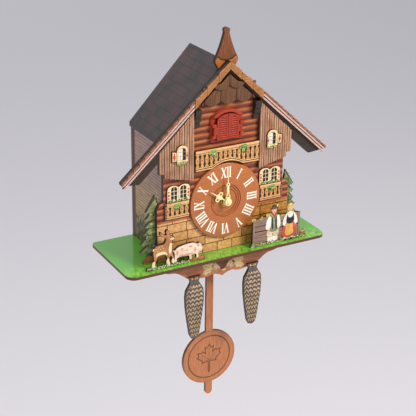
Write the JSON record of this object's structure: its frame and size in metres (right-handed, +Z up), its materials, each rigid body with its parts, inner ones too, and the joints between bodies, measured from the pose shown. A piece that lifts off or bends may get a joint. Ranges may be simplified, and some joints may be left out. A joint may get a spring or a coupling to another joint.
{
  "type": "cuckoo clock",
  "caption": "Wall cuckoo clock built as a flat-layered wooden chalet, with a cuckoo behind shutters, hands, a swinging pendulum and two hanging fir cones.",
  "frame": {"origin": "middle of the wall-hanging hole, on the wall plane", "axes": "front faces -Y, +X to the right as seen from the front, +Z up, the wall is the plane Y = 0"},
  "size_m": [0.216, 0.0874, 0.3932],
  "materials": {
    "grass_lacquer": "gloss lacquer over board",
    "wall_print": "matt printed boards",
    "raw_board": "bare fibre board",
    "roof_print": "matt printed shingles",
    "log_print": "matt printed logs and stones",
    "dark_trim": "dark stained board",
    "pale_strip": "pale painted strip",
    "tan_shingle": "stained shingles",
    "brown_shingle": "stained shingles",
    "finial_wood": "stained wood",
    "side_board_wood": "weathered upright boards",
    "cream_window": "painted window frames",
    "balcony_wood": "light balcony wood",
    "apron_wood": "reddish stained board",
    "tree_print": "printed fir green",
    "animal_print": "printed figures",
    "bench_print": "printed figures",
    "dial_wood": "turned wood, satin lacquer",
    "red_plastic": "moulded, satin",
    "ivory_plastic": "moulded, glossy",
    "white_plastic": "moulded gears",
    "black_plastic": "moulded, fine texture",
    "grey_plastic": "moulded",
    "bird_paint": "painted",
    "steel": "bright",
    "brass": "bright",
    "pendulum_wood": "satin, engraved",
    "cone_print": "printed cones",
    "cell_sleeve": "printed sleeve",
    "speaker_black": "paper cone and steel basket",
    "board_green": "solder mask"
  },
  "bodies": {
    "case": {"base_plate": "grass_lacquer", "left_wall": "wall_print", "right_wall": "wall_print", "back_board": "raw_board", "hinge_pins": "steel", "catch_magnet": "steel", "roof_panel_left": "roof_print", "roof_panel_right": "roof_print", "facade_board": "log_print", "eave_boards": "dark_trim", "eave_strips": "pale_strip", "verge_shingles": "tan_shingle", "gable_shingles": "brown_shingle", "ridge_finial": "finial_wood", "brackets": "dark_trim", "side_boards": "side_board_wood", "windows": "cream_window", "lower_balconies": "balcony_wood", "centre_balcony": "balcony_wood", "balcony_ledge": "dark_trim", "apron_board": "apron_wood", "trees": "tree_print", "animals_cutout": "animal_print", "bench_couple_cutout": "bench_print", "dial": "dial_wood", "door_frame": "red_plastic", "mechanism_shelf": "raw_board", "bird_guide": "grey_plastic", "bird_motor": "steel", "movement_case_front": "black_plastic", "movement_case_back": "black_plastic", "gear_bridge": "black_plastic", "dial_nut": "brass", "pendulum_pin": "steel", "cone_hooks": "brass", "battery_holder": "black_plastic", "batteries": "cell_sleeve", "battery_contacts": "steel", "speaker": "speaker_black", "circuit_board": "board_green", "screws": "steel"},
    "minute_hand": {"minute_arbor": "white_plastic", "minute_hand": "ivory_plastic"},
    "hour_hand": {"hour_wheel": "white_plastic", "hour_hand": "ivory_plastic"},
    "reverse_wheel": {"reverse_wheel": "white_plastic"},
    "setting_knob": {"setting_knob": "black_plastic"},
    "pendulum": {"pendulum_hanger": "black_plastic", "drive_magnet": "steel", "pendulum_board": "pendulum_wood"},
    "bird_carriage": {"bird_carriage": "grey_plastic", "bird": "bird_paint"},
    "bird_pinion": {"bird_pinion": "white_plastic"},
    "shutter_left": {"shutter_left": "red_plastic"},
    "shutter_right": {"shutter_right": "red_plastic"},
    "back_hatch": {"back_hatch": "raw_board", "catch_disc": "steel"},
    "cone_left": {"cone_left": "cone_print"},
    "cone_right": {"cone_right": "cone_print"},
    "switch_knob": {"switch_knob": "black_plastic"}
  },
  "joints": [
    {"name": "minute_turn", "type": "hinge", "parent": "case", "child": "minute_hand", "pos_m": [0, -0.07, -0.0988], "axis": [0, 1, 0], "continuous": true},
    {"name": "hour_turn", "type": "hinge", "parent": "case", "child": "hour_hand", "pos_m": [0, -0.07, -0.0988], "axis": [0, 1, 0], "continuous": true},
    {"name": "reverse_turn", "type": "hinge", "parent": "case", "child": "reverse_wheel", "pos_m": [0.012, -0.062, -0.0988], "axis": [0, 1, 0], "continuous": true},
    {"name": "setting_turn", "type": "hinge", "parent": "case", "child": "setting_knob", "pos_m": [0.018, -0.055, -0.10919], "axis": [0, 1, 0], "continuous": true},
    {"name": "pendulum_swing", "type": "hinge", "parent": "case", "child": "pendulum", "pos_m": [0, -0.0435, -0.11], "axis": [0, 1, 0], "range_deg": [-8, 8]},
    {"name": "bird_slide", "type": "slide", "parent": "case", "child": "bird_carriage", "axis": [0, -1, 0], "range_m": [0, 0.026]},
    {"name": "pinion_turn", "type": "hinge", "parent": "case", "child": "bird_pinion", "pos_m": [0, -0.0354, -0.02832], "axis": [-1, 0, 0], "range_deg": [0, 311]},
    {"name": "shutter_left_turn", "type": "hinge", "parent": "case", "child": "shutter_left", "pos_m": [-0.0139, -0.0747, -0.025], "axis": [0, 0, -1], "range_deg": [0, 93]},
    {"name": "shutter_right_turn", "type": "hinge", "parent": "case", "child": "shutter_right", "pos_m": [0.0139, -0.0747, -0.025], "axis": [0, 0, 1], "range_deg": [0, 93]},
    {"name": "hatch_turn", "type": "hinge", "parent": "case", "child": "back_hatch", "pos_m": [0.039, -0.002, -0.082], "axis": [0, 0, -1], "range_deg": [0, 95]},
    {"name": "cone_left_swing", "type": "hinge", "parent": "case", "child": "cone_left", "pos_m": [-0.0323, -0.0715, -0.173], "axis": [0, 1, 0], "range_deg": [-20, 20]},
    {"name": "cone_right_swing", "type": "hinge", "parent": "case", "child": "cone_right", "pos_m": [0.0323, -0.0715, -0.173], "axis": [0, 1, 0], "range_deg": [-20, 20]},
    {"name": "switch_slide", "type": "slide", "parent": "case", "child": "switch_knob", "axis": [0, 0, 1], "range_m": [-0.002, 0.002]}
  ],
  "couplings": [
    {"joint": "hour_turn", "follows": "minute_turn", "ratio": 0.083333},
    {"joint": "reverse_turn", "follows": "minute_turn", "ratio": -0.33333},
    {"joint": "setting_turn", "follows": "minute_turn", "ratio": 1},
    {"joint": "pinion_turn", "follows": "bird_slide", "rad_per_m": 208.33},
    {"joint": "shutter_left_turn", "follows": "bird_slide", "rad_per_m": 62},
    {"joint": "shutter_right_turn", "follows": "bird_slide", "rad_per_m": 62}
  ]
}
